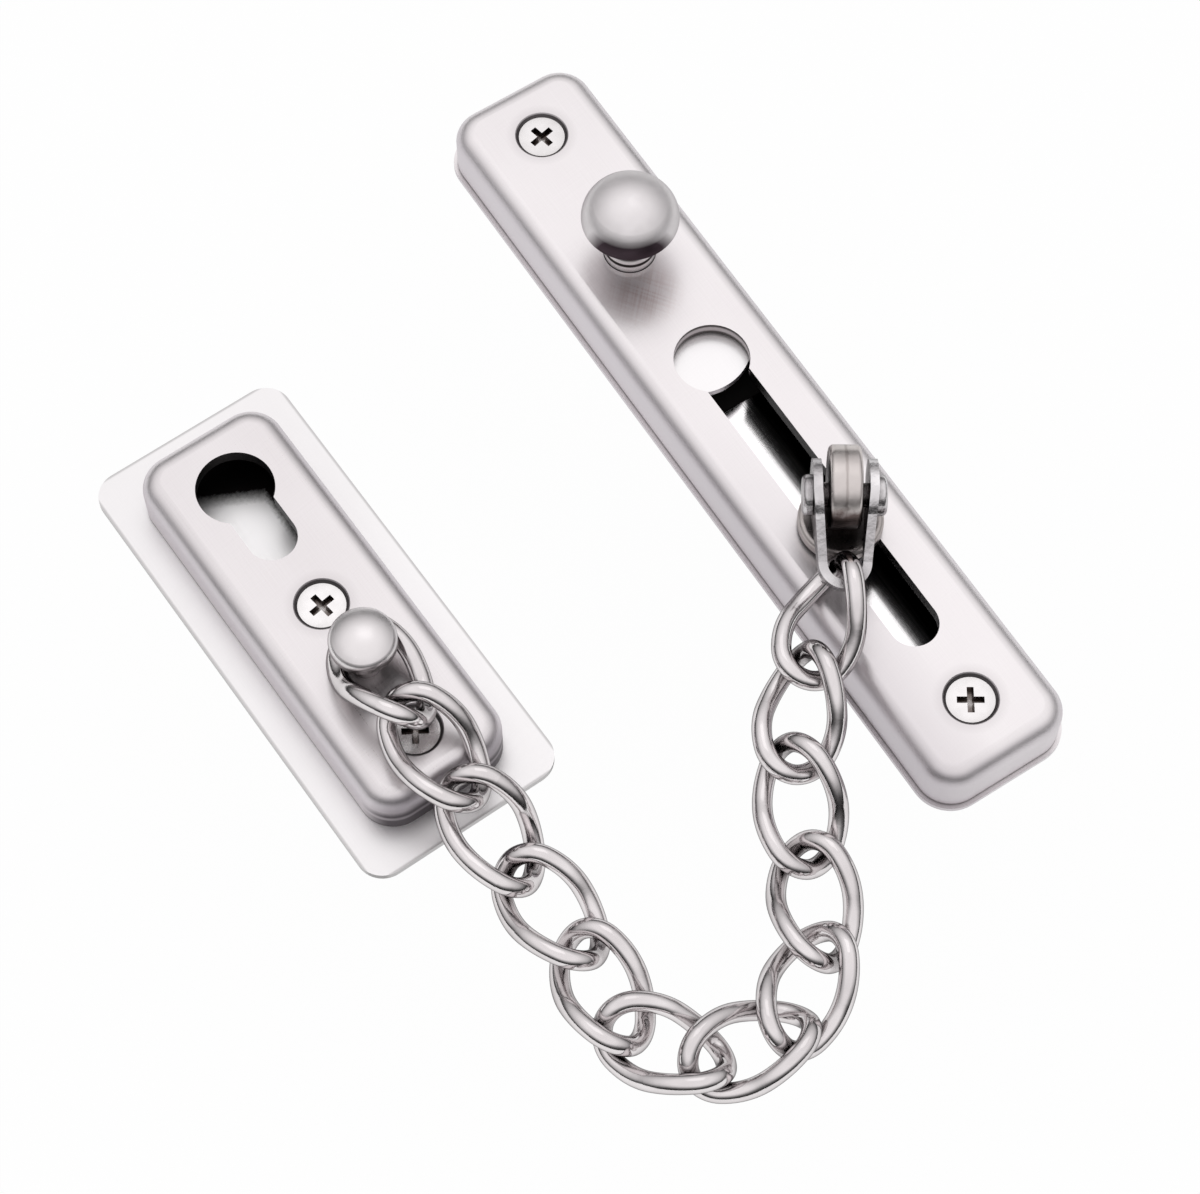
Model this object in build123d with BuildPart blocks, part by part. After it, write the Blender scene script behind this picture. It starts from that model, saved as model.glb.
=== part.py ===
"""Door chain guard: slotted track with a press lock, a twelve-link chain and an anchor plate.

Millimetres, +Z up. The origin is the middle of the track plate's back, and +Y runs along the
track towards the lock knob. The guard lies flat on its two backs, with the chain in a loop.
"""
import os
from math import acos, asin, atan2, cos, radians, sin, sqrt, tan

from build123d import *

os.makedirs("parts", exist_ok=True)

# Sheet of both drawn plates
sheet = 2.0
bend_radius = 2.5
corner_radius = 4.5

# Track plate
track_length = 115.0
track_width = 20.0
track_height = 8.0
lip_width = 0.5
lip_thickness = 0.8
track_screw_inset = 8.8
track_screw_turns = (12.0, -33.0)

# Keyhole of the track: entry hole and free slot
entry_from_knob = 19.3
entry_radius = 4.95
slot_width = 6.4
slot_end_inset = 20.9

# Screws and their countersunk holes
sink_radius = 3.55
screw_hole_radius = 2.2
screw_head_radius = 3.05
screw_shank_radius = 1.75
screw_tip_radius = 0.5
screw_point_length = 1.6
screw_tip_height = 0.4
screw_seat_gap = 0.05
recess_span = 3.4
recess_width = 0.85
recess_depth = 1.1
recess_taper = 8.0

# Lock knob
knob_inset = 30.1
knob_stem_radius = 3.4
knob_collar_height = 2.2
knob_waist_radius = 2.6
knob_waist_height = 2.6
knob_cap_radius = 6.35
knob_cap_height = 8.0
knob_rim_round = 0.8
knob_dome_height = 4.8
knob_shoulder = 4.0
knob_tail_radius = 1.8
knob_rivet_radius = 2.6
knob_rivet_height = 0.5
stem_clearance = 0.1

# Lock plate under the sheet, its spring and the strap that carries the spring
tongue_side_gap = 0.5
tongue_thickness = 1.0
tongue_tip_from_entry = 3.4
tongue_back_from_knob = 7.6
tongue_back_corner = 3.0
tongue_rest_gap = 0.05
tail_clearance = 0.02
lock_travel = 1.8
bridge_thickness = 0.8
bridge_length = 9.0
bridge_height = 0.4
bridge_gap = 0.35
spring_radius = 3.25
spring_wire = 0.5
spring_turns = 2.5
spring_end_gap = 0.02

# Guide strip between the walls, deep below the slot
guide_thickness = 0.8
guide_height = 0.2
guide_tip_gap = 1.0
guide_end_inset = 14.5

# Slider: flanged bush in the slot and the swivelling stud
slider_y = -20.6
foot_radius = 4.5
foot_thickness = 1.5
foot_drop = 0.15
hub_clearance = 0.3
hub_stand = 0.1
swivel_radius = 1.55
swivel_clearance = 0.05
swivel_end_gap = 0.1
peen_radius = 2.4
peen_height = 0.45
peen_clearance = 0.1
collar_radius = 5.4
collar_height = 2.4
collar_round = 0.7
pin_height = 16.3
eye_radius = 5.2
eye_thickness = 4.0
eye_round = 0.6
eye_back = 0.9
eye_rise = 0.5
eye_neck_width = 5.4

# Clevis and its rivet pin
clevis_heading = 213.3
clevis_drop = 17.0
clevis_width = 8.0
clevis_bow_width = 6.6
clevis_sheet = 1.1
clevis_length = 11.8
ear_width = 9.0
bow_width = 2.6
pin_radius = 1.5
pin_clearance = 0.05
pin_head_radius = 2.55
pin_head_height = 1.2
pin_head_round = 0.6

# Chain links: twisted oval wire links, all alike
wire = 2.5
link_length = 18.0
link_width = 11.7
link_half_twist = 47.0
half_pitch = 6.0
reach_loss_per_degree = 0.012
bow_stand_off = 1.25
floor_gap = 0.02

# How the chain lies: each link's heading from +Y towards +X, its roll, and its far joint's rise
link_headings = (233, 223, 205, 205, 234, 280, 326, 369, 353, 356, 355, 359)
link_rolls = (26, 18, 10, 0, 0, 0, 0, 0, 0, 0, 0, 10)
joint_rises = (7.4, 4.4, 0.4, 0.0, 0.0, 0.0, 0.0, 0.0, 1.4, 6.35, 9.65, 8.2)

# Anchor: flat base, drawn cover and mushroom stud
anchor_turn = 2.35
base_length = 66.3
base_width = 28.2
base_thickness = 1.0
base_corner = 3.5
cover_length = 57.6
cover_width = 19.8
cover_height = 7.0
park_y = 19.0
park_radius = 5.05
park_slot_width = 6.5
park_slot_end_y = 10.5
anchor_screw_ys = (-0.8, -21.5)
anchor_screw_turns = (10.0, -30.0)
stud_y = -10.8
stud_neck_radius = 1.95
stud_neck_height = 6.2
stud_head_radius = 4.25
stud_head_height = 3.0
stud_head_rim = 0.8
stud_head_shoulder = 1.2
stud_rivet_radius = 2.8
stud_rivet_height = 0.8
stud_slack = 0.6


# Derived heights of the track
sheet_under = track_height - sheet
tongue_top = sheet_under - tongue_rest_gap
tongue_under = tongue_top - tongue_thickness
bridge_top = bridge_height + bridge_thickness
foot_top = sheet_under - foot_drop
foot_under = foot_top - foot_thickness
hub_top = track_height + hub_stand
hub_radius = slot_width / 2 - hub_clearance
collar_under = hub_top + swivel_end_gap
cover_top = base_thickness + cover_height

# Derived places along the track
track_end = track_length / 2
track_screw_ys = (track_end - track_screw_inset, track_screw_inset - track_end)
knob_y = track_end - knob_inset
entry_y = knob_y - entry_from_knob
slot_end_y = slot_end_inset - track_end
tongue_tip_y = entry_y - tongue_tip_from_entry
tongue_back_y = knob_y + tongue_back_from_knob
guide_start_y = tongue_tip_y - guide_tip_gap
guide_end_y = guide_end_inset - track_end

# Derived room between the track's walls
inner_width = track_width - 2 * sheet
tongue_width = inner_width - 2 * tongue_side_gap
bridge_leg = tongue_under - lock_travel - bridge_gap - bridge_height


def upright(x, y):
    """Plane for profiles turned about the vertical through (x, y): local x is outward, local y is up."""
    return Plane(origin=(x, y, 0), x_dir=(1, 0, 0), z_dir=(0, -1, 0))


def vertical(x, y):
    """Vertical axis through (x, y)."""
    return Axis((x, y, 0), (0, 0, 1))


def dome(radius, z, height, shoulder):
    """Shoulder middle, join, crown middle and top of a low dome that starts at (radius, z)."""
    inset = radius - shoulder
    join = radians(90) - 2 * atan2(height - shoulder, inset)
    crown_z = z - inset * tan(join)
    crown = shoulder + inset / cos(join)
    half_way = (join + radians(90)) / 2
    return (
        (inset + shoulder * cos(join / 2), z + shoulder * sin(join / 2)),
        (inset + shoulder * cos(join), z + shoulder * sin(join)),
        (crown * cos(half_way), crown_z + crown * sin(half_way)),
        (0, z + height),
    )


def pressed_tray(plane, length, width, height):
    """A drawn sheet tray standing on the plane, open at its back."""
    with BuildPart() as tray:
        with BuildSketch(plane):
            RectangleRounded(width, length, corner_radius)
        extrude(amount=height)
        fillet(tray.edges().group_by(Axis.Z)[-1], bend_radius)
        offset(amount=-sheet, openings=tray.faces().sort_by(Axis.Z)[0])
    return tray.part


def keyhole(plane, hole_y, hole_radius, width, end_y):
    """Cutter for a round entry hole that runs into a narrower slot, sunk from the plane."""
    with BuildPart() as cutter:
        with BuildSketch(plane):
            with Locations((0, hole_y)):
                Circle(hole_radius)
            with Locations((0, (hole_y + end_y) / 2)):
                Rectangle(width, abs(hole_y - end_y))
            with Locations((0, end_y)):
                Circle(width / 2)
        extrude(amount=-2 * sheet)
    return cutter.part


def screw(x, y, mouth, turn):
    """A countersunk cross-recess screw below the sink mouth at height mouth."""
    head = mouth - (sink_radius - screw_head_radius - screw_seat_gap)
    neck = head - (screw_head_radius - screw_shank_radius)
    with BuildPart() as body:
        with BuildSketch(upright(x, y)):
            with BuildLine():
                Polyline(
                    (0, head),
                    (screw_head_radius, head),
                    (screw_shank_radius, neck),
                    (screw_shank_radius, screw_tip_height + screw_point_length),
                    (screw_tip_radius, screw_tip_height),
                    (0, screw_tip_height),
                    close=True,
                )
            make_face()
        revolve(axis=vertical(x, y))
        with BuildSketch(Plane((x, y, head), x_dir=(cos(radians(turn)), sin(radians(turn)), 0))):
            Rectangle(recess_span, recess_width)
            Rectangle(recess_width, recess_span)
        extrude(amount=-recess_depth, taper=recess_taper, mode=Mode.SUBTRACT)
    return body.part


# Track plate with entry hole, slot, knob hole and screw holes
with BuildPart() as track_plate:
    add(pressed_tray(Plane.XY, track_length, track_width, track_height))
    with BuildSketch():
        RectangleRounded(
            track_width + 2 * lip_width, track_length + 2 * lip_width, corner_radius + lip_width
        )
        RectangleRounded(track_width - sheet, track_length - sheet, corner_radius - sheet / 2,
                         mode=Mode.SUBTRACT)
    extrude(amount=lip_thickness)
    add(keyhole(Plane.XY.offset(track_height), entry_y, entry_radius, slot_width, slot_end_y),
        mode=Mode.SUBTRACT)
    with Locations((0, knob_y, track_height)):
        Hole(knob_stem_radius + stem_clearance, depth=2 * sheet)
    with Locations(*[(0, y, track_height) for y in track_screw_ys]):
        CounterSinkHole(screw_hole_radius, sink_radius, depth=2 * sheet, counter_sink_angle=90)

# Screws of the track
with BuildPart() as track_screws:
    for y, turn in zip(track_screw_ys, track_screw_turns):
        add(screw(0, y, track_height, turn))

# Lock knob: mushroom cap, waist, collar, stem and riveted tail
cap_z = track_height + knob_cap_height
rim_x = knob_cap_radius - knob_rim_round
rim_z = cap_z - knob_rim_round
rim_middle = (rim_x + knob_rim_round * cos(radians(45)), cap_z - knob_rim_round * sin(radians(45)))
knob_dome = dome(knob_cap_radius, cap_z, knob_dome_height, knob_shoulder)
with BuildPart() as lock_knob:
    with BuildSketch(upright(0, knob_y)):
        with BuildLine():
            Polyline(
                (0, cap_z + knob_dome_height),
                (0, tongue_under - knob_rivet_height),
                (knob_rivet_radius, tongue_under - knob_rivet_height),
                (knob_rivet_radius, tongue_under),
                (knob_tail_radius, tongue_under),
                (knob_tail_radius, tongue_top),
                (knob_stem_radius, tongue_top),
                (knob_stem_radius, track_height + knob_collar_height),
                (knob_waist_radius, track_height + knob_waist_height),
                (knob_waist_radius, rim_z),
                (rim_x, rim_z),
            )
            ThreePointArc((rim_x, rim_z), rim_middle, (knob_cap_radius, cap_z))
            ThreePointArc((knob_cap_radius, cap_z), *knob_dome[:2])
            ThreePointArc(*knob_dome[1:])
        make_face()
    revolve(axis=vertical(0, knob_y))

# Lock plate: tongue with a full round tip below the entry hole
with BuildPart() as lock_plate:
    with BuildSketch(Plane.XY.offset(tongue_under)):
        tip_centre_y = tongue_tip_y + tongue_width / 2
        with Locations((0, (tip_centre_y + tongue_back_y) / 2)):
            back_end = Rectangle(tongue_width, tongue_back_y - tip_centre_y)
        fillet(back_end.vertices().group_by(Axis.Y)[-1], tongue_back_corner)
        with Locations((0, tip_centre_y)):
            Circle(tongue_width / 2)
        with Locations((0, knob_y)):
            Circle(knob_tail_radius + tail_clearance, mode=Mode.SUBTRACT)
    extrude(amount=tongue_thickness)

# Strap across the tray below the knob, its ends turned up along the walls
with BuildPart() as spring_bridge:
    with BuildSketch(upright(0, knob_y)):
        with Locations((0, bridge_height + bridge_leg / 2)):
            Rectangle(inner_width, bridge_leg)
        with Locations((0, bridge_top + bridge_leg / 2)):
            Rectangle(inner_width - 2 * bridge_thickness, bridge_leg, mode=Mode.SUBTRACT)
    extrude(amount=bridge_length / 2, both=True)

# Coil spring between the strap and the lock plate
spring_low = bridge_top + spring_wire / 2 + spring_end_gap
spring_high = tongue_under - spring_wire / 2 - spring_end_gap
with BuildPart() as lock_spring:
    with BuildLine(Plane((0, knob_y, spring_low))) as coil:
        Helix(pitch=(spring_high - spring_low) / spring_turns, height=spring_high - spring_low,
              radius=spring_radius)
    with BuildSketch(Plane(coil.line @ 0, z_dir=coil.line % 0)):
        Circle(spring_wire / 2)
    sweep(path=coil.line, is_frenet=True)

# Guide strip across the tray's open back, below the slot
with BuildPart() as slide_guide:
    with BuildSketch(Plane.XY.offset(guide_height)):
        with Locations((0, (guide_start_y + guide_end_y) / 2)):
            Rectangle(inner_width, guide_start_y - guide_end_y)
    extrude(amount=guide_thickness)

# Slider foot: flange under the sheet, hub in the slot
with BuildPart() as slider_foot:
    with BuildSketch(upright(0, slider_y)):
        with BuildLine():
            bore = swivel_radius + swivel_clearance
            Polyline(
                (bore, hub_top),
                (hub_radius, hub_top),
                (hub_radius, foot_top),
                (foot_radius, foot_top),
                (foot_radius, foot_under),
                (peen_radius + peen_clearance, foot_under),
                (peen_radius + peen_clearance, foot_under + peen_height + 2 * peen_clearance),
                (bore, foot_under + peen_height + 2 * peen_clearance),
                close=True,
            )
        make_face()
    revolve(axis=vertical(0, slider_y))

# Directions of the clevis: along its strap and along its pin
heading = radians(clevis_heading)
drop = radians(clevis_drop)
strap_dir = Vector(sin(heading) * cos(drop), cos(heading) * cos(drop), -sin(drop))
pin_dir = Vector(cos(heading), -sin(heading), 0)
pin_point = Vector(0, slider_y, pin_height)
eye_plane = Plane(origin=(0, slider_y, 0), x_dir=(sin(heading), cos(heading), 0), z_dir=pin_dir)

# Slider stud: collar, neck and eye tab, with a tail that turns in the bush
eye_up = 1 if eye_plane.y_dir.Z > 0 else -1
with BuildPart() as slider_stud:
    with BuildSketch(upright(0, slider_y)):
        with BuildLine():
            Polyline(
                (0, collar_under + collar_height),
                (collar_radius, collar_under + collar_height),
                (collar_radius, collar_under),
                (swivel_radius, collar_under),
                (swivel_radius, foot_under + peen_height + peen_clearance),
                (peen_radius, foot_under + peen_height + peen_clearance),
                (peen_radius, foot_under + peen_clearance),
                (0, foot_under + peen_clearance),
                close=True,
            )
        make_face()
    revolve(axis=vertical(0, slider_y))
    fillet(slider_stud.edges().filter_by(GeomType.CIRCLE).group_by(SortBy.RADIUS)[-1], collar_round)
    with BuildSketch(eye_plane):
        with Locations((-eye_back, eye_up * (pin_height + eye_rise))):
            Circle(eye_radius)
        with Locations((-eye_back, eye_up * (collar_under + collar_height / 2 + pin_height) / 2)):
            Rectangle(eye_neck_width, pin_height - collar_under - collar_height / 2)
    extrude(amount=eye_thickness / 2, both=True)
    eye_sides = slider_stud.faces().filter_by(Axis(pin_point, pin_dir))
    fillet(eye_sides.edges().filter_by(GeomType.CIRCLE), eye_round)
    with BuildSketch(Plane(pin_point, z_dir=pin_dir)):
        Circle(pin_radius + pin_clearance)
    extrude(amount=eye_thickness, both=True, mode=Mode.SUBTRACT)

# Clevis: U strap with round ears, narrower where the first link hangs
clevis_plane = Plane(pin_point, x_dir=pin_dir, z_dir=pin_dir.cross(strap_dir))
clevis_half = clevis_width / 2
bow_half = clevis_bow_width / 2
ear_radius = ear_width / 2
bow_centre = clevis_length - bow_half
with BuildPart() as clevis:
    with BuildSketch(clevis_plane):
        for shrink, mode in ((0, Mode.ADD), (clevis_sheet, Mode.SUBTRACT)):
            with BuildLine():
                Polyline(
                    (clevis_half - shrink, -ear_radius),
                    (clevis_half - shrink, 0),
                    (bow_half - shrink, bow_centre),
                    (shrink - bow_half, bow_centre),
                    (shrink - clevis_half, 0),
                    (shrink - clevis_half, -ear_radius),
                    close=True,
                )
            make_face(mode=mode)
            with Locations((0, bow_centre)):
                Circle(bow_half - shrink, mode=mode)
    extrude(amount=ear_radius, both=True)
    with BuildSketch(Plane(pin_point, x_dir=strap_dir, z_dir=pin_dir)):
        Circle(ear_radius)
        with BuildLine():
            Polyline((0, ear_radius), (bow_centre, bow_width / 2), (clevis_length, bow_width / 2),
                     (clevis_length, -bow_width / 2), (bow_centre, -bow_width / 2), (0, -ear_radius),
                     close=True)
        make_face()
    extrude(amount=clevis_width, both=True, mode=Mode.INTERSECT)
    with BuildSketch(Plane(pin_point, z_dir=pin_dir)):
        Circle(pin_radius)
    extrude(amount=clevis_width, both=True, mode=Mode.SUBTRACT)

# Rivet pin through the ears and the eye
with BuildPart() as clevis_pin:
    with BuildSketch(Plane(pin_point, z_dir=pin_dir)):
        Circle(pin_radius)
    extrude(amount=clevis_half, both=True)
    for side in (1, -1):
        with BuildSketch(Plane(pin_point + pin_dir * (side * clevis_half), z_dir=pin_dir * side)):
            Circle(pin_head_radius)
        extrude(amount=pin_head_height)
    head_ends = clevis_pin.faces().sort_by(Axis(pin_point, pin_dir))
    fillet([*head_ends[0].edges(), *head_ends[-1].edges()], pin_head_round)

# One chain link about its own middle: x along, y to the side, z up
half_long = (link_length - wire) / 2
half_wide = (link_width - wire) / 2
twist_slope = tan(radians(link_half_twist))
leg_middle = Vector(0, half_wide, 0)
leg_dir = Vector(-half_long, 0, half_wide * twist_slope).normalized()
bow_middle = Vector(-half_long, 0, 0)
bow_dir = Vector(0, -1, -twist_slope).normalized()

# A leg's arc and a bow's arc meet where both have tangents of equal length
span = bow_middle - leg_middle
turn_sum = leg_dir + bow_dir
slack = 4 - turn_sum.dot(turn_sum)
lean = span.dot(turn_sum)
tangent_length = (sqrt(lean**2 + slack * span.dot(span)) - lean) / slack
meet = (leg_middle + bow_middle + (leg_dir - bow_dir) * tangent_length) / 2
far_meet = Vector(meet.X, -meet.Y, -meet.Z)
with BuildPart() as link:
    with BuildLine() as half_path:
        near_leg = TangentArc(leg_middle, meet, tangent=leg_dir)
        TangentArc(meet, bow_middle, tangent=near_leg % 1)
        far_bow = TangentArc(bow_middle, far_meet, tangent=bow_dir)
        TangentArc(far_meet, -leg_middle, tangent=far_bow % 1)
    with BuildSketch(Plane(leg_middle, z_dir=leg_dir)):
        Circle(wire / 2)
    sweep(path=half_path.line)
    add(link.part.rotate(Axis.Z, 180))

# Places of the links, from the clevis bow to the stud
flat_lay = link.part.bounding_box().size.Z / 2 + floor_gap
bow_depth = clevis_length - clevis_sheet - bow_stand_off - wire / 2
joint = pin_point + strap_dir * bow_depth
link_planes = []
link_joints = []
for i, heading_degrees in enumerate(link_headings):
    turn_in = abs(heading_degrees - link_headings[i - 1])
    reach_in = half_pitch - reach_loss_per_degree * turn_in if i > 0 else half_long
    if i + 1 < len(link_headings):
        turn_out = abs(link_headings[i + 1] - heading_degrees)
        reach_out = half_pitch - reach_loss_per_degree * turn_out
    else:
        reach_out = half_long - wire / 2 - stud_neck_radius - stud_slack
    tilt = asin((flat_lay + joint_rises[i] - joint.Z) / (reach_in + reach_out))
    way = radians(heading_degrees)
    along = Vector(sin(way) * cos(tilt), cos(way) * cos(tilt), sin(tilt))
    level = Vector(-sin(way) * sin(tilt), -cos(way) * sin(tilt), cos(tilt))
    up = level.rotate(Axis((0, 0, 0), along), link_rolls[i])
    link_joints.append(joint)
    link_planes.append(Plane(joint + along * reach_in, x_dir=along, z_dir=up))
    joint = joint + along * (reach_in + reach_out)
chain_links = [link.part.moved(Location(plane)) for plane in link_planes]
stud_point = Vector(joint.X, joint.Y, 0)

# The anchor lies where the chain ends on its stud
anchor_angle = radians(anchor_turn)
anchor_along = Vector(-sin(anchor_angle), cos(anchor_angle), 0)
anchor_origin = stud_point - anchor_along * stud_y
anchor_plane = Plane(anchor_origin, x_dir=(cos(anchor_angle), sin(anchor_angle), 0))
anchor_screw_points = [anchor_origin + anchor_along * y for y in anchor_screw_ys]

# Flat base of the anchor
with BuildPart() as anchor_base:
    with BuildSketch(anchor_plane):
        RectangleRounded(base_width, base_length, base_corner)
        with Locations(*[(0, y) for y in anchor_screw_ys]):
            Circle(screw_hole_radius, mode=Mode.SUBTRACT)
    extrude(amount=base_thickness)

# Drawn cover with a parking keyhole
with BuildPart() as anchor_cover:
    add(pressed_tray(anchor_plane.offset(base_thickness), cover_length, cover_width, cover_height))
    add(keyhole(anchor_plane.offset(cover_top), park_y, park_radius, park_slot_width, park_slot_end_y),
        mode=Mode.SUBTRACT)
    with Locations(*[(p.X, p.Y, cover_top) for p in anchor_screw_points]):
        CounterSinkHole(screw_hole_radius, sink_radius, depth=2 * sheet, counter_sink_angle=90)
    with Locations((stud_point.X, stud_point.Y, cover_top)):
        Hole(stud_neck_radius, depth=2 * sheet)

# Screws of the anchor
with BuildPart() as anchor_screws:
    for point, turn in zip(anchor_screw_points, anchor_screw_turns):
        add(screw(point.X, point.Y, cover_top, turn))

# Mushroom stud riveted into the cover
stud_head_z = cover_top + stud_neck_height
stud_rim_z = stud_head_z + stud_head_rim
stud_dome = dome(stud_head_radius, stud_rim_z, stud_head_height - stud_head_rim, stud_head_shoulder)
with BuildPart() as chain_stud:
    with BuildSketch(upright(stud_point.X, stud_point.Y)):
        with BuildLine():
            Polyline(
                (0, stud_head_z + stud_head_height),
                (0, cover_top - sheet - stud_rivet_height),
                (stud_rivet_radius, cover_top - sheet - stud_rivet_height),
                (stud_rivet_radius, cover_top - sheet),
                (stud_neck_radius, cover_top - sheet),
                (stud_neck_radius, stud_head_z),
                (stud_head_radius, stud_head_z),
                (stud_head_radius, stud_rim_z),
            )
            ThreePointArc((stud_head_radius, stud_rim_z), *stud_dome[:2])
            ThreePointArc(*stud_dome[1:])
        make_face()
    revolve(axis=vertical(stud_point.X, stud_point.Y))

# One file for each piece
pieces = {
    "track_plate": track_plate.part,
    "track_screws": track_screws.part,
    "lock_knob": lock_knob.part,
    "lock_plate": lock_plate.part,
    "lock_spring": lock_spring.part,
    "spring_bridge": spring_bridge.part,
    "slide_guide": slide_guide.part,
    "slider_foot": slider_foot.part,
    "slider_stud": slider_stud.part,
    "clevis": clevis.part,
    "clevis_pin": clevis_pin.part,
    "anchor_base": anchor_base.part,
    "anchor_cover": anchor_cover.part,
    "anchor_screws": anchor_screws.part,
    "chain_stud": chain_stud.part,
}
for number, placed in enumerate(chain_links, start=1):
    pieces[f"chain_link_{number:02d}"] = placed
for name, piece in pieces.items():
    piece.label = name
    export_step(piece, f"parts/{name}.step")
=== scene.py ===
"""Looks of the door chain guard: brushed plates, polished chain, satin knob, white studio."""
import math

import bpy
from mathutils import Matrix, Vector


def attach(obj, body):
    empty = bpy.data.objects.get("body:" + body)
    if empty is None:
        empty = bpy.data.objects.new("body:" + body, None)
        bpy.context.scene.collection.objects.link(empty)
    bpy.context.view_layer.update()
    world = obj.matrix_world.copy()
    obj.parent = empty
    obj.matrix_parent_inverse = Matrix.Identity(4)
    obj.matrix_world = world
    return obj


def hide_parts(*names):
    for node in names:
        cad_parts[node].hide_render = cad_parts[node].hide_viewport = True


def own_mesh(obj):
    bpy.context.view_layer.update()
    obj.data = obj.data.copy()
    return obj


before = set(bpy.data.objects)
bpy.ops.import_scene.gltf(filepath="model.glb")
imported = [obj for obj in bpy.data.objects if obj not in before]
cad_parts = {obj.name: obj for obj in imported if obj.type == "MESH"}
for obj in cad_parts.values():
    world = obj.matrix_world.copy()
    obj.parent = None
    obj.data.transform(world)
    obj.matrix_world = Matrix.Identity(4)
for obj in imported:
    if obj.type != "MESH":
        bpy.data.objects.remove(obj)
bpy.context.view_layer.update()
scene = bpy.context.scene
scene.view_settings.view_transform = "Standard"

MM = 0.001

# Camera of the photograph, fitted in the track's frame
CAM_AZIMUTH = math.radians(-33.28)
CAM_ELEVATION = math.radians(64.33)
CAM_ROLL = math.radians(0.34)
CAM_DISTANCE = 415.0 * MM
CAM_TARGET = Vector((-28.45, -9.4, 0.0)) * MM
CAM_LENS = 98.43
CAM_SENSOR = 36.0
CAM_NEAREST = 0.01

# Light tent: the darker side, the levels from the horizon up, and the heights where they change
DARK_SIDE = (-0.549, -0.836, 0.0)
HORIZON_LEVEL = 0.03
SIDE_LEVEL = 0.46
SIDE_RISE = (0.09, 0.33)
ROOF_RISE = (0.30, 0.78)
DARK_RISE = (0.34, 0.66)
DARK_WIDTH = (0.25, 0.75)
DARK_SHARE = 0.75
TENT_TINT = (1.0, 0.985, 0.99)

# Key lamp, beyond the track
KEY_PLACE = (0.147, 0.257, 0.788)
KEY_SIZE = 0.45
KEY_WATTS = 0.14

# The floor lies below the reach of the swinging chain, so it cuts through nothing at any pose
FLOOR_LEVEL = -38.0 * MM
FLOOR_HALF = 6.0
FLOOR_WHITE = (0.97, 0.97, 0.97)
FLOOR_GLOW = 0.97
SHADE_SHEET_LEVEL = -0.2 * MM
SHADE_SHEET_HALF = (8.8 * MM, 56.0 * MM)

# Places on the plates in millimetres, each in its plate's own frame
ANCHOR_PLACE = (-60.006 * MM, 6.103 * MM, 0.0)
ANCHOR_TURN = math.radians(2.35)
TRACK_SINKS = ((0.0, 48.7, 0.0), (0.0, -48.7, 0.0))
COVER_SINKS = ((0.0, -0.8, 0.0), (0.0, -21.5, 0.0))
SINK_RADIUS = 3.55
SINK_EDGE = (-0.18, -0.08)
SINK_HALO_SPAN = (-0.3, 1.3)
SINK_HALO_LEAST = 0.72
TRACK_FOOT = 0.8
COVER_FOOT = 1.0
FOOT_RISE = (0.15, 0.55)
FOOT_LIP = (-0.10, 0.0)
ENTRY_HOLE = (0.0, 8.1, 0.0)
ENTRY_RIM = (5.05, 5.20)
SHEET_TOP_EDGE = (7.30, 7.60)
SHEET_LOW_EDGE = (6.45, 6.75)
SLOT_AREA = (0.0, (3.2, 45.0))
PARK_AREA = (17.0, (5.05, 7.2))
UNDER_PARK = (18.0, (8.0, 8.6))
AREA_RIM = (0.1, 0.25)
# Painted shade on the track, darker toward the near end and the left side
NEAR_LEFT_DOWN = (-32.0, 4.0)
NEAR_LEFT_SIDE = (-9.0, -1.0)
# Patch of scratches with painted shadow in front of the knob
WORN_SHADOW_PATCH = (-2.2, 21.0, 0.0)
WORN_SHADOW_REACH = (1.0, 5.6)
COVER_NEAR = (-27.6, -24.2)
# Band of painted dark reflection low on the cover's near end
COVER_REFLECTION_TOP = (4.7, 5.9)
COVER_REFLECTION_LINE = 3.3
COVER_REFLECTION_LINE_HALF = (0.15, 0.55)
COVER_REFLECTION_ON_LINE = 0.35
# Painted shadow on the base under the park hole
SHADOW_LEAN = 0.52
SHADOW_ABOVE = (20.2, 22.6)
SHADOW_BESIDE = (3.4, 4.5)
BASE_HALF = (14.1, 33.15)
BASE_RIM = (-0.42, -0.16)
GUIDE_BORDER = (1.9, 4.0)

# Knob and slider: heights and widths in millimetres, travel and middle in metres
KNOB_GROOVE = (10.25, 10.35)
KNOB_GROOVE_END = (12.1, 12.9)
KNOB_CAP = (14.7, 14.9)
COLLAR_LINE = 9.50
COLLAR_LINE_HALF = (0.26, 0.40)
EYE_MIDDLE = (0.0, -20.6 * MM, 16.3 * MM)
EYE_AXIS = (-0.8358, 0.5490, 0.0)
SEAM_HALF = (0.05, 0.22)
SEAM_WOBBLE = (-0.12, 0.06)
# Band of painted dark reflection low on the eye's rim
EYE_REFLECTION_TOP = (2.0, 3.6)
EYE_REFLECTION_WOBBLE = (-0.8, 0.8)
EYE_FOOT = (-4.6, -3.6)

# Spans of the normal's share upward, or toward the near end or the tent's dark side
FLAT_SLOPE = (0.50, 0.97)
UNDER_SLOPE = (-0.7, -0.2)
NEAR_END_FACING = (-0.92, -0.35)
KNOB_LOW_SLOPE = (0.44, 0.66)
KNOB_FRONT = (0.50, 0.76)
KNOB_REST_SHARE = 0.12

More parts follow.
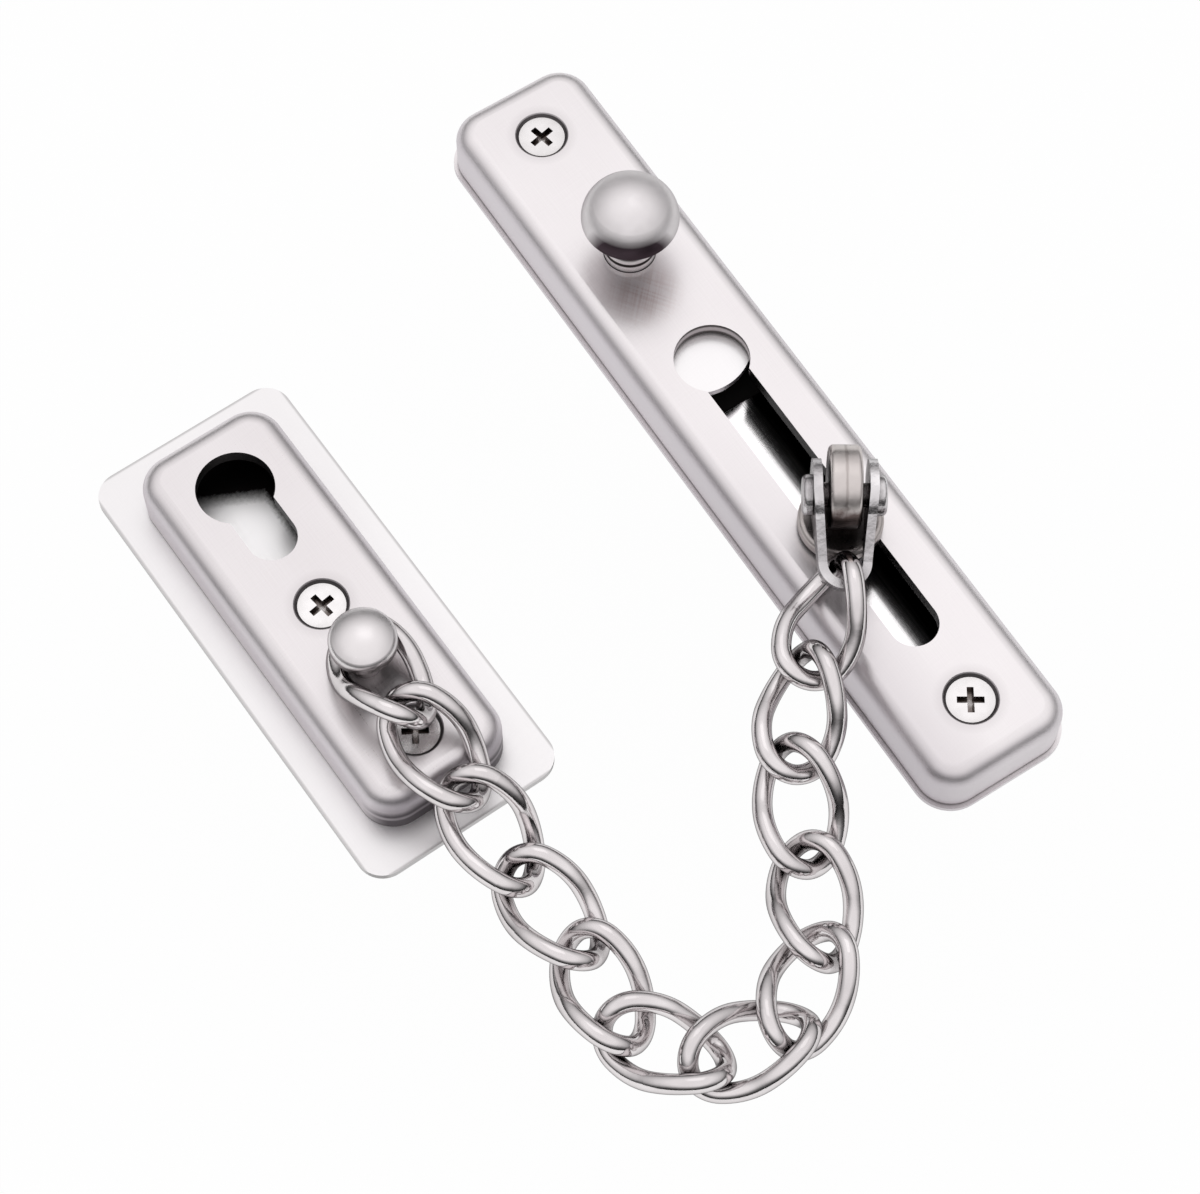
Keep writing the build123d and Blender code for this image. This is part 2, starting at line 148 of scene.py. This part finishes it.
# Grain: scales per metre, and the part of a noise's range that is used
BRUSH_ALONG = (7000, 90, 7000)
BRUSH_ACROSS = (110, 6000, 6000)
BRUSH_SKEW = 0.12
BRUSH_CLOUD = (55, 30, 55)
HATCH_SHARE = 0.4
CLOUD_SHARE = 0.4
BRUSH_RELIEF = (0.12, 0.03 * MM)
WALL_ROUGHER = 0.12
WALL_DARKER = 0.94
WALL_LIGHTER = 1.05
SCRATCH_GRAIN = (2600, 80, 900)
SCRATCH_TURNS = (0.62, -0.75)
SCRATCH_SPAN = (0.8, 1.15)
SCRATCH_LEAST = 0.15
RAGGED_GRAIN = (2400, 2400, 2400)
RAGGED_REACH = (-0.22, 0.22)
STREAK_GRAIN = (2600, 60, 2600)
STREAK_REACH = (-1.3, 1.3)
SCUFF_GRAIN = (900, 900, 900)
SWELL_GRAIN = (160, 160, 160)
SCUFF_DEPTH = 0.2 * MM
NOISE_SPAN = (0.3, 0.7)
TONE_SPAN = (0.35, 0.65)
FULL_SPAN = (0.0, 1.0)

# Colours of painted shade, shadow, lit patches and reflections, and of wear, seams and outlines
SHADE_BLACK = (0.012, 0.010, 0.010)
STRIP_SHADE_BLACK = (0.012, 0.011, 0.012)
EDGE_SHADE_BLACK = (0.02, 0.018, 0.018)
UNDERSIDE_SHADE = (0.05, 0.045, 0.045)
SINK_HALO = (0.42, 0.39, 0.40)
FOOT_SHADE = (0.22, 0.205, 0.21)
WALL_SHADE_GREY = (0.70, 0.662, 0.69)
TRACK_END_SHADE = (0.72, 0.685, 0.705)
COVER_END_SHADE = (0.38, 0.35, 0.375)
NEAR_LEFT_SHADE = (0.48, 0.445, 0.47)
RIM_SHADE_GREY = (0.50, 0.46, 0.47)
RIM_SHADE_DARK = (0.07, 0.06, 0.06)
WORN_SHADOW_WARM = (0.66, 0.565, 0.555)
COVER_DARK_REFLECTION = (0.05, 0.04, 0.048)
LIT_PATCH_WHITE = (0.975, 0.968, 0.97)
OUTLINE_GREY = (0.60, 0.59, 0.59)
KNOB_DARK_REFLECTION = (0.060, 0.043, 0.052)
GROOVE_SHADE = (0.10, 0.09, 0.09)
LINE_DARK = (0.035, 0.03, 0.03)
SEAM_BROWN = (0.20, 0.16, 0.15)
EYE_REFLECTION_BROWN = (0.16, 0.115, 0.105)
CREVICE_SHADE = (0.05, 0.042, 0.042)

# Strongest share of a mark's colour
NEAR_LEFT_SHARE = 0.38
WORN_SHADOW_SHARE = 0.8
COVER_REFLECTION_SHARE = 0.95
SEAM_SHARE = 0.38
EYE_REFLECTION_SHARE = 0.88

# Colour sockets of the mix node, and rays for finding crevices
MIX_FIRST, MIX_SECOND, MIX_RESULT = 6, 7, 2
CREVICE_RAYS = 4


def make_camera():
    """Places the camera at the photograph's viewpoint."""
    back = Vector((
        math.sin(CAM_AZIMUTH) * math.cos(CAM_ELEVATION),
        -math.cos(CAM_AZIMUTH) * math.cos(CAM_ELEVATION),
        math.sin(CAM_ELEVATION),
    ))
    right = (-back).cross(Vector((0, 0, 1))).normalized()
    up = right.cross(-back)
    right, up = (
        math.cos(CAM_ROLL) * right + math.sin(CAM_ROLL) * up,
        -math.sin(CAM_ROLL) * right + math.cos(CAM_ROLL) * up,
    )
    data = bpy.data.cameras.new("camera")
    data.sensor_fit = "HORIZONTAL"
    data.sensor_width = CAM_SENSOR
    data.lens = CAM_LENS
    data.clip_start = CAM_NEAREST
    camera = bpy.data.objects.new("camera", data)
    place = CAM_TARGET + CAM_DISTANCE * back
    camera.matrix_world = Matrix((
        (right.x, up.x, back.x, place.x),
        (right.y, up.y, back.y, place.y),
        (right.z, up.z, back.z, place.z),
        (0, 0, 0, 1),
    ))
    scene.collection.objects.link(camera)
    scene.camera = camera


class Graph:
    """Shader nodes of one material or world, with a short call for each step."""

    def __init__(self, owner):
        owner.use_nodes = True
        self.nodes, self.links = owner.node_tree.nodes, owner.node_tree.links
        self.nodes.clear()

    def join(self, output, socket):
        """Links an output to an input."""
        self.links.new(output, socket)

    def feed(self, socket, value):
        """Gives an input a fixed number or colour, or links it."""
        if isinstance(value, (int, float)):
            socket.default_value = value
        elif isinstance(value, tuple):
            socket.default_value = (*value, 1)
        else:
            self.join(value, socket)

    def calculate(self, operation, first, second=0.0, clamp=False):
        """Two values joined by one operation."""
        node = self.nodes.new("ShaderNodeMath")
        node.operation = operation
        node.use_clamp = clamp
        self.feed(node.inputs[0], first)
        self.feed(node.inputs[1], second)
        return node.outputs[0]

    def add(self, first, second, clamp=False):
        """The sum of two values."""
        return self.calculate("ADD", first, second, clamp)

    def minus(self, first, second):
        """The first value less the second."""
        return self.calculate("SUBTRACT", first, second)

    def times(self, first, second):
        """The product of two values."""
        return self.calculate("MULTIPLY", first, second)

    def larger(self, first, second):
        """The larger of two values."""
        return self.calculate("MAXIMUM", first, second)

    def distance_from(self, value, middle=0.0):
        """How far a value lies from a middle, on either side."""
        return self.calculate("ABSOLUTE", self.minus(value, middle) if middle else value)

    def ramp(self, value, span, low=0.0, high=1.0):
        """Maps a value over a span to the range from low to high, held at both ends."""
        node = self.nodes.new("ShaderNodeMapRange")
        names = ("From Min", "From Max", "To Min", "To Max")
        for name, number in zip(names, (*span, low, high)):
            node.inputs[name].default_value = number
        self.join(value, node.inputs["Value"])
        return node.outputs["Result"]

    def mix(self, share, first, second):
        """Mixes two colours, each linked or fixed."""
        node = self.nodes.new("ShaderNodeMix")
        node.data_type = "RGBA"
        self.join(share, node.inputs[0])
        self.feed(node.inputs[MIX_FIRST], first)
        self.feed(node.inputs[MIX_SECOND], second)
        return node.outputs[MIX_RESULT]

    def texture(self, output):
        """One of the object's own coordinates."""
        return self.nodes.new("ShaderNodeTexCoord").outputs[output]

    def split(self, vector):
        """A vector's x, y and z."""
        node = self.nodes.new("ShaderNodeSeparateXYZ")
        self.join(vector, node.inputs["Vector"])
        return node.outputs["X"], node.outputs["Y"], node.outputs["Z"]

    def along(self, vector, direction):
        """Share of a vector along a direction."""
        node = self.nodes.new("ShaderNodeVectorMath")
        node.operation = "DOT_PRODUCT"
        node.inputs[1].default_value = direction
        self.join(vector, node.inputs[0])
        return node.outputs["Value"]

    def grain(self, scale, turn=0.0, detail=3.0, roughness=0.55):
        """Noise on object coordinates that are turned about Z and then scaled."""
        turned = self.nodes.new("ShaderNodeMapping")
        turned.inputs["Rotation"].default_value = (0, 0, -turn)
        scaled = self.nodes.new("ShaderNodeMapping")
        scaled.inputs["Scale"].default_value = scale
        self.join(self.texture("Object"), turned.inputs["Vector"])
        self.join(turned.outputs["Vector"], scaled.inputs["Vector"])
        node = self.nodes.new("ShaderNodeTexNoise")
        node.inputs["Scale"].default_value = 1.0
        node.inputs["Detail"].default_value = detail
        node.inputs["Roughness"].default_value = roughness
        self.join(scaled.outputs["Vector"], node.inputs["Vector"])
        return node.outputs["Fac"]

    def own_place(self, origin=(0, 0, 0), turn=0.0):
        """Place in millimetres in a frame with this origin and turn, as one vector."""
        node = self.nodes.new("ShaderNodeMapping")
        node.vector_type = "TEXTURE"
        node.inputs["Location"].default_value = origin
        node.inputs["Rotation"].default_value = (0, 0, turn)
        node.inputs["Scale"].default_value = (MM, MM, MM)
        self.join(self.texture("Object"), node.inputs["Vector"])
        return node.outputs["Vector"]

    def away_from(self, place, point):
        """Distance from a point in the plate's plane, in millimetres."""
        level = self.nodes.new("ShaderNodeCombineXYZ")
        self.join(place[0], level.inputs["X"])
        self.join(place[1], level.inputs["Y"])
        node = self.nodes.new("ShaderNodeVectorMath")
        node.operation = "DISTANCE"
        node.inputs[1].default_value = point
        self.join(level.outputs["Vector"], node.inputs[0])
        return node.outputs["Value"]

    def upward(self):
        """Upward share of the surface's normal in the piece's own frame, from -1 to 1."""
        return self.split(self.texture("Normal"))[2]

    def openness(self, distance, span):
        """0 deep in a crevice, 1 in the open."""
        node = self.nodes.new("ShaderNodeAmbientOcclusion")
        node.samples = CREVICE_RAYS
        node.inputs["Distance"].default_value = distance
        return self.ramp(node.outputs["AO"], span)

    def bump(self, shader, height, strength, distance):
        """Fine relief on a shader's normal."""
        node = self.nodes.new("ShaderNodeBump")
        node.inputs["Strength"].default_value = strength
        node.inputs["Distance"].default_value = distance
        self.join(height, node.inputs["Height"])
        self.join(node.outputs["Normal"], shader.inputs["Normal"])


def metal(name):
    """A bare metal: its material, graph and shader."""
    mat = bpy.data.materials.new(name)
    g = Graph(mat)
    out = g.nodes.new("ShaderNodeOutputMaterial")
    shader = g.nodes.new("ShaderNodeBsdfPrincipled")
    shader.inputs["Metallic"].default_value = 1.0
    g.join(shader.outputs["BSDF"], out.inputs["Surface"])
    return mat, g, shader


def brushed_steel(name, dark, light, rough, wall=WALL_SHADE_GREY, origin=(0, 0, 0), turn=0.0,
                  marks=None, below=UNDERSIDE_SHADE):
    """Sheet brushed along its length and lightly across, rougher on drawn walls, with painted
    shade in a greyer wall colour and a dark underside.
    """
    mat, g, shader = metal(name)
    streaks = g.grain(BRUSH_ALONG, turn)
    hatch = g.grain(BRUSH_ACROSS, turn + BRUSH_SKEW)
    cloud = g.grain(BRUSH_CLOUD, turn, detail=4.0)
    brushed = g.add(g.times(streaks, 1 - HATCH_SHARE), g.times(hatch, HATCH_SHARE))
    tone = g.add(g.times(brushed, 1 - CLOUD_SHARE), g.times(cloud, CLOUD_SHARE))
    tone = g.ramp(tone, TONE_SPAN)
    up = g.upward()
    flat = g.ramp(up, FLAT_SLOPE)
    wall_dark = tuple(WALL_DARKER * c for c in wall)
    wall_light = tuple(min(1.0, WALL_LIGHTER * c) for c in wall)
    # Drawn walls take a greyer colour than the top: painted shade.
    sheet = g.mix(flat, g.mix(tone, wall_dark, wall_light), g.mix(tone, dark, light))
    # Undersides take a dark colour: painted shade.
    sheet = g.mix(g.ramp(up, UNDER_SLOPE), below, sheet)
    if marks:
        place = g.split(g.own_place(origin, turn))
        sheet = marks(g, sheet, place, flat, brushed)
    g.join(sheet, shader.inputs["Base Color"])
    wall_rough = g.ramp(flat, FULL_SPAN, WALL_ROUGHER, 0.0)
    g.join(g.add(g.ramp(brushed, NOISE_SPAN, *rough), wall_rough), shader.inputs["Roughness"])
    g.bump(shader, brushed, *BRUSH_RELIEF)
    return mat


def shifted(span, by):
    """A span moved by a length."""
    return span[0] + by, span[1] + by


def sink_rings(g, sheet, place, points):
    """Painted shade in the countersinks round the screw heads: a black ring in the gap and a
    softer darker halo round it.
    """
    for point in points:
        away = g.away_from(place, point)
        unshaded = g.ramp(away, shifted(SINK_EDGE, SINK_RADIUS))
        # Black ring in the gap round each screw head: painted shade.
        sheet = g.mix(unshaded, SHADE_BLACK, sheet)
        fading = g.ramp(away, shifted(SINK_HALO_SPAN, SINK_RADIUS), SINK_HALO_LEAST, 1)
        sheet = g.mix(fading, SINK_HALO, sheet)
    return sheet


def foot_line(g, sheet, place, flat, foot):
    """Painted contact shade: a dark line at the foot of the drawn walls."""
    rise = g.ramp(place[2], shifted(FOOT_RISE, foot))
    lip = g.ramp(place[2], shifted(FOOT_LIP, foot), 1, 0)
    unshaded = g.larger(g.larger(rise, lip), flat)
    return g.mix(unshaded, FOOT_SHADE, sheet)


def near_end(g, sheet, colour):
    """Painted shade: a darker colour on walls that face the near end."""
    facing = g.ramp(g.split(g.texture("Normal"))[1], NEAR_END_FACING, 1, 0)
    return g.mix(facing, sheet, colour)


def area_share(g, place, middle_y, half):
    """1 inside a rectangle on the plate, 0 outside."""
    off = g.distance_from(place[0]), g.distance_from(place[1], middle_y)
    inside = [g.ramp(o, shifted(AREA_RIM, h), 1, 0) for o, h in zip(off, half)]
    return g.times(*inside)


def shaded_cut_edges(g, sheet, flat, share):
    """Painted shade: black on cut edges where share is 1 and the surface stands upright."""
    return g.mix(g.times(g.minus(1.0, flat), share), sheet, EDGE_SHADE_BLACK)


def track_marks(g, sheet, place, flat, brushed):
    """Track: painted shade on the near-end walls, toward the near end's left side, in the sinks,
    at the foot, on the slot's cut edges and on the entry hole's wall; scratches with painted
    shadow at the knob.
    """
    sheet = near_end(g, sheet, TRACK_END_SHADE)
    # Painted shade: darker grey toward the near end and the left side.
    near_left = g.times(g.ramp(place[1], NEAR_LEFT_DOWN, 1, 0), g.ramp(place[0], NEAR_LEFT_SIDE, 1, 0))
    sheet = g.mix(g.times(near_left, NEAR_LEFT_SHARE), sheet, NEAR_LEFT_SHADE)
    sheet = sink_rings(g, sheet, place, TRACK_SINKS)
    sheet = foot_line(g, sheet, place, flat, TRACK_FOOT)
    sheet = shaded_cut_edges(g, sheet, flat, area_share(g, place, *SLOT_AREA))
    # Painted shade on the entry hole's wall: grey in the middle, dark at its top and low edges.
    edges = g.larger(g.ramp(place[2], SHEET_TOP_EDGE), g.ramp(place[2], SHEET_LOW_EDGE, 1, 0))
    rim = g.mix(edges, RIM_SHADE_GREY, RIM_SHADE_DARK)
    outside = g.larger(g.ramp(g.away_from(place, ENTRY_HOLE), ENTRY_RIM), flat)
    sheet = g.mix(outside, rim, sheet)
    # Scratches from wear, with painted shadow of the knob: a warm darker patch in front of it.
    patch = g.ramp(g.away_from(place, WORN_SHADOW_PATCH), WORN_SHADOW_REACH, 1, 0)
    weave = g.add(*(g.grain(SCRATCH_GRAIN, turn, detail=2.0) for turn in SCRATCH_TURNS))
    worn_shadow = g.times(patch, g.ramp(weave, SCRATCH_SPAN, SCRATCH_LEAST, 1))
    return g.mix(g.times(worn_shadow, WORN_SHADOW_SHARE), sheet, WORN_SHADOW_WARM)


def cover_marks(g, sheet, place, flat, brushed):
    """Anchor cover: painted shade on the near-end walls, in the sinks, at the foot and on the
    hole's cut edges, and a painted dark reflection in a band low on the near end.
    """
    sheet = near_end(g, sheet, COVER_END_SHADE)
    sheet = sink_rings(g, sheet, place, COVER_SINKS)
    sheet = foot_line(g, sheet, place, flat, COVER_FOOT)
    sheet = shaded_cut_edges(g, sheet, flat, area_share(g, place, *PARK_AREA))
    # Painted dark reflection: a band low on the near end, lighter along one line.
    band = g.ramp(g.add(place[2], brushed), COVER_REFLECTION_TOP, 1, 0)
    line = g.ramp(g.distance_from(place[2], COVER_REFLECTION_LINE), COVER_REFLECTION_LINE_HALF,
                  COVER_REFLECTION_ON_LINE, 1)
    dark_reflection = g.times(g.ramp(place[1], COVER_NEAR, 1, 0), g.times(band, line))
    return g.mix(g.times(dark_reflection, COVER_REFLECTION_SHARE), sheet, COVER_DARK_REFLECTION)


def base_marks(g, sheet, place, flat, brushed):
    """Anchor base: a painted lit patch under the park hole, with painted shadow beyond a ragged
    border, and a greyed outline.
    """
    ragged = g.grain(RAGGED_GRAIN, detail=5.0, roughness=0.7)
    ragged = g.ramp(ragged, NOISE_SPAN, *RAGGED_REACH)
    leaning = g.add(place[1], g.times(place[0], SHADOW_LEAN))
    above = g.ramp(g.add(leaning, ragged), SHADOW_ABOVE)
    beside = g.ramp(g.add(place[0], ragged), SHADOW_BESIDE)
    covered = g.times(area_share(g, place, *UNDER_PARK), flat)
    painted_shade = g.times(g.larger(above, beside), covered)
    # Painted light: white where light falls through the park hole.
    sheet = g.mix(covered, sheet, LIT_PATCH_WHITE)
    # Painted shadow: black on the far and right sides under the park hole.
    sheet = g.mix(painted_shade, sheet, SHADE_BLACK)
    rims = [g.ramp(g.distance_from(p), shifted(BASE_RIM, half))
            for p, half in zip(place, BASE_HALF)]
    return g.mix(g.larger(*rims), sheet, OUTLINE_GREY)


def guide_marks(g, sheet, place, flat, brushed):
    """Guide strip: painted shadow along its right side, with streaks at the border."""
    streaks = g.grain(STREAK_GRAIN, detail=5.0, roughness=0.7)
    streaks = g.ramp(streaks, NOISE_SPAN, *STREAK_REACH)
    return g.mix(g.ramp(g.add(place[0], streaks), GUIDE_BORDER), sheet, STRIP_SHADE_BLACK)


def polished_steel(name, dark, light, rough, relief=0.05, edge=1.0, crevice=3.0 * MM,
                   open_span=(0.25, 0.8), low_side=None, marks=None,
                   painted_shade=CREVICE_SHADE):
    """Drawn and tumbled steel: small dents, light handling marks, painted shade in the crevices.
    """
    mat, g, shader = metal(name)
    shader.inputs["Specular Tint"].default_value = (edge, edge, edge, 1)
    scuffs = g.grain(SCUFF_GRAIN, detail=5.0)
    swells = g.grain(SWELL_GRAIN, detail=2.0)
    bare = g.mix(g.ramp(swells, NOISE_SPAN), dark, light)
    # Surfaces facing down or aside take a darker colour: painted shade.
    if low_side:
        colour, slopes = low_side
        bare = g.mix(g.ramp(g.upward(), slopes), colour, bare)
    if marks:
        bare = marks(g, bare, scuffs)
    # Darker colour in crevices, found by occlusion rays: painted shade.
    g.join(g.mix(g.openness(crevice, open_span), painted_shade, bare), shader.inputs["Base Color"])
    g.join(g.ramp(scuffs, NOISE_SPAN, *rough), shader.inputs["Roughness"])
    g.bump(shader, g.add(scuffs, swells), relief, SCUFF_DEPTH)
    return mat


def knob_marks(g, bare, scuffs):
    """Knob: painted dark reflection low on the cap's front, painted shade in the groove over the
    collar, dark line round it.
    """
    height = g.split(g.own_place())[2]
    # Painted dark reflection low on the cap's front, toward the tent's dark side.
    low = g.times(g.ramp(height, KNOB_CAP), g.ramp(g.upward(), KNOB_LOW_SLOPE, 1, 0))
    front = g.ramp(g.along(g.texture("Normal"), DARK_SIDE), KNOB_FRONT, KNOB_REST_SHARE, 1)
    bare = g.mix(g.times(low, front), bare, KNOB_DARK_REFLECTION)
    # Painted shade in the groove over the collar.
    groove = g.times(g.ramp(height, KNOB_GROOVE), g.ramp(height, KNOB_GROOVE_END, 1, 0))
    bare = g.mix(groove, bare, GROOVE_SHADE)
    line = g.ramp(g.distance_from(height, COLLAR_LINE), COLLAR_LINE_HALF, 1, 0)
    return g.mix(line, bare, LINE_DARK)


def eye_marks(g, bare, scuffs):
    """Slider's eye: parting seam round the middle of its rim, painted dark brown reflection low
    on the rim.
    """
    place = g.own_place(EYE_MIDDLE)
    off = g.distance_from(g.along(place, EYE_AXIS))
    wobble = g.ramp(scuffs, NOISE_SPAN, *SEAM_WOBBLE)
    seam = g.ramp(g.add(off, wobble), SEAM_HALF, 1, 0)
    height = g.split(place)[2]
    wobble = g.ramp(scuffs, NOISE_SPAN, *EYE_REFLECTION_WOBBLE)
    # Painted dark reflection: brown low on the eye's rim.
    eye_reflection = g.ramp(g.add(height, wobble), EYE_REFLECTION_TOP, 1, 0)
    eye_reflection = g.times(eye_reflection, g.ramp(height, EYE_FOOT))
    bare = g.mix(g.times(seam, SEAM_SHARE), bare, SEAM_BROWN)
    return g.mix(g.times(eye_reflection, EYE_REFLECTION_SHARE), bare, EYE_REFLECTION_BROWN)


def dress(names, mat):
    """Puts one material on CAD nodes."""
    for name in names:
        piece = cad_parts[name]
        for slot in piece.material_slots:
            slot.material = mat


def dress_plates():
    """Brushed sheet on the plates and on the sheet pieces inside the track."""
    dress(["track_plate"], brushed_steel(
        "track_brushed", (0.80, 0.765, 0.775), (0.89, 0.86, 0.868), (0.28, 0.40),
        marks=track_marks))
    dress(["anchor_cover"], brushed_steel(
        "cover_brushed", (0.72, 0.685, 0.695), (0.82, 0.79, 0.798), (0.26, 0.38),
        origin=ANCHOR_PLACE, turn=ANCHOR_TURN, marks=cover_marks))
    dress(["anchor_base"], brushed_steel(
        "base_brushed", (0.88, 0.865, 0.87), (0.935, 0.922, 0.926), (0.34, 0.46),
        wall=(0.42, 0.41, 0.41), origin=ANCHOR_PLACE, turn=ANCHOR_TURN, marks=base_marks,
        below=(0.66, 0.65, 0.65)))
    dress(["lock_plate", "spring_bridge", "slider_foot"], brushed_steel(
        "inner_sheet", (0.89, 0.875, 0.88), (0.945, 0.935, 0.94), (0.28, 0.38)))
    dress(["slide_guide"], brushed_steel(
        "guide_sheet", (0.95, 0.94, 0.945), (0.99, 0.98, 0.985), (0.10, 0.17),
        marks=guide_marks))


def dress_fittings():
    """Satin knob, stud and eye, polished chain and clevis, bright screws, drawn spring."""
    dress(["lock_knob"], polished_steel(
        "knob_satin", (0.82, 0.79, 0.798), (0.88, 0.85, 0.858), (0.40, 0.48),
        relief=0.02, edge=0.55, crevice=2.0 * MM, marks=knob_marks))
    dress(["chain_stud"], polished_steel(
        "stud_satin", (0.80, 0.77, 0.775), (0.86, 0.83, 0.835), (0.27, 0.35),
        relief=0.02, edge=0.6, crevice=4.0 * MM,
        low_side=((0.30, 0.27, 0.275), (-0.2, 0.55))))
    dress(["slider_stud"], polished_steel(
        "eye_satin", (0.60, 0.555, 0.54), (0.74, 0.69, 0.67), (0.26, 0.40),
        relief=0.12, edge=0.7, crevice=6.0 * MM, open_span=(0.30, 0.85),
        low_side=((0.06, 0.05, 0.055), (-0.8, -0.2)), marks=eye_marks))
    dress([f"chain_link_{i:02d}" for i in range(1, 13)], polished_steel(
        "chain_polished", (0.68, 0.648, 0.652), (0.82, 0.785, 0.79), (0.08, 0.16),
        relief=0.06, edge=0.25, crevice=2.2 * MM, open_span=(0.18, 0.62)))
    dress(["clevis", "clevis_pin"], polished_steel(
        "fitting_polished", (0.52, 0.50, 0.51), (0.82, 0.80, 0.81), (0.14, 0.30),
        relief=0.55, edge=0.5, crevice=4.0 * MM))
    dress(["track_screws", "anchor_screws"], polished_steel(
        "screw_bright", (0.79, 0.77, 0.77), (0.87, 0.85, 0.85), (0.20, 0.32),
        relief=0.08, crevice=1.6 * MM, open_span=(0.45, 0.85), painted_shade=(0.13, 0.105, 0.095)))
    dress(["lock_spring"], polished_steel(
        "spring_drawn", (0.45, 0.45, 0.46), (0.55, 0.55, 0.56), (0.25, 0.35)))


def make_spring():
    """Coil spring under the lock plate: a copy of the CAD spring that rides with the track."""
    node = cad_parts["lock_spring"]
    spring = bpy.data.objects.new("lock_coil", node.data.copy())
    scene.collection.objects.link(spring)
    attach(spring, "track")
    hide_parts("lock_spring")
    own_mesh(spring)


def level_sheet(name, height, half_x, half_y, mat):
    """A level rectangle of the stage round the track's middle."""
    mesh = bpy.data.meshes.new(name)
    corners = [(x * half_x, y * half_y, 0) for x, y in ((-1, -1), (1, -1), (1, 1), (-1, 1))]
    mesh.from_pydata(corners, [], [(0, 1, 2, 3)])
    mesh.materials.append(mat)
    sheet = bpy.data.objects.new(name, mesh)
    sheet.location = (0, 0, height)
    scene.collection.objects.link(sheet)
    return sheet


def stage_material(name, colour, glow_share):
    """Matt sheet that shows as white, by its share, to the camera and in shiny metal."""
    mat = bpy.data.materials.new(name)
    g = Graph(mat)
    out = g.nodes.new("ShaderNodeOutputMaterial")
    matt = g.nodes.new("ShaderNodeBsdfDiffuse")
    matt.inputs["Color"].default_value = (*colour, 1)
    glow = g.nodes.new("ShaderNodeEmission")
    glow.inputs["Color"].default_value = (1, 1, 1, 1)
    glow.inputs["Strength"].default_value = 1.0
    path = g.nodes.new("ShaderNodeLightPath")
    seen = g.add(path.outputs["Is Camera Ray"], path.outputs["Is Glossy Ray"], clamp=True)
    seen = g.add(seen, path.outputs["Is Transmission Ray"], clamp=True)
    mixed = g.nodes.new("ShaderNodeMixShader")
    g.join(g.times(seen, glow_share), mixed.inputs["Fac"])
    g.join(matt.outputs["BSDF"], mixed.inputs[1])
    g.join(glow.outputs["Emission"], mixed.inputs[2])
    g.join(mixed.outputs["Shader"], out.inputs["Surface"])
    return mat


def make_floor():
    """White floor, and a dark sheet under the open tray as painted shade, so that no floor shows
    in the slot.
    """
    floor = level_sheet("floor", FLOOR_LEVEL, FLOOR_HALF, FLOOR_HALF,
                        stage_material("floor_white", FLOOR_WHITE, FLOOR_GLOW))
    # Dark sheet under the tray: painted shade for the tray's inside.
    shade_sheet = level_sheet("shade_sheet", SHADE_SHEET_LEVEL, *SHADE_SHEET_HALF,
                          stage_material("shade_sheet_dark", EDGE_SHADE_BLACK, 0.0))


def make_world():
    """Light tent: white overhead, grey round the sides, dark low on one side."""
    world = bpy.data.worlds.new("studio")
    scene.world = world
    g = Graph(world)
    out = g.nodes.new("ShaderNodeOutputWorld")
    back = g.nodes.new("ShaderNodeBackground")
    direction = g.texture("Generated")
    height = g.split(direction)[2]
    sides = g.ramp(height, SIDE_RISE, HORIZON_LEVEL, SIDE_LEVEL)
    roof = g.ramp(height, ROOF_RISE, 0.0, 1.0 - SIDE_LEVEL)
    low = g.ramp(height, DARK_RISE, 1, 0)
    shade = g.times(low, g.ramp(g.along(direction, DARK_SIDE), DARK_WIDTH))
    kept = g.minus(1.0, g.times(shade, DARK_SHARE))
    g.join(g.times(g.add(sides, roof), kept), back.inputs["Strength"])
    back.inputs["Color"].default_value = (*TENT_TINT, 1)
    g.join(back.outputs["Background"], out.inputs["Surface"])


def soft_box(name, place, aim, size, watts):
    """A square area lamp aimed at a point."""
    data = bpy.data.lights.new(name, "AREA")
    data.shape = "SQUARE"
    data.size = size
    data.energy = watts
    lamp = bpy.data.objects.new(name, data)
    lamp.location = place
    lamp.rotation_euler = (Vector(aim) - Vector(place)).to_track_quat("-Z", "Y").to_euler()
    scene.collection.objects.link(lamp)


dress_plates()
dress_fittings()
make_spring()
make_camera()
make_floor()
make_world()
soft_box("key", KEY_PLACE, CAM_TARGET, KEY_SIZE, KEY_WATTS)
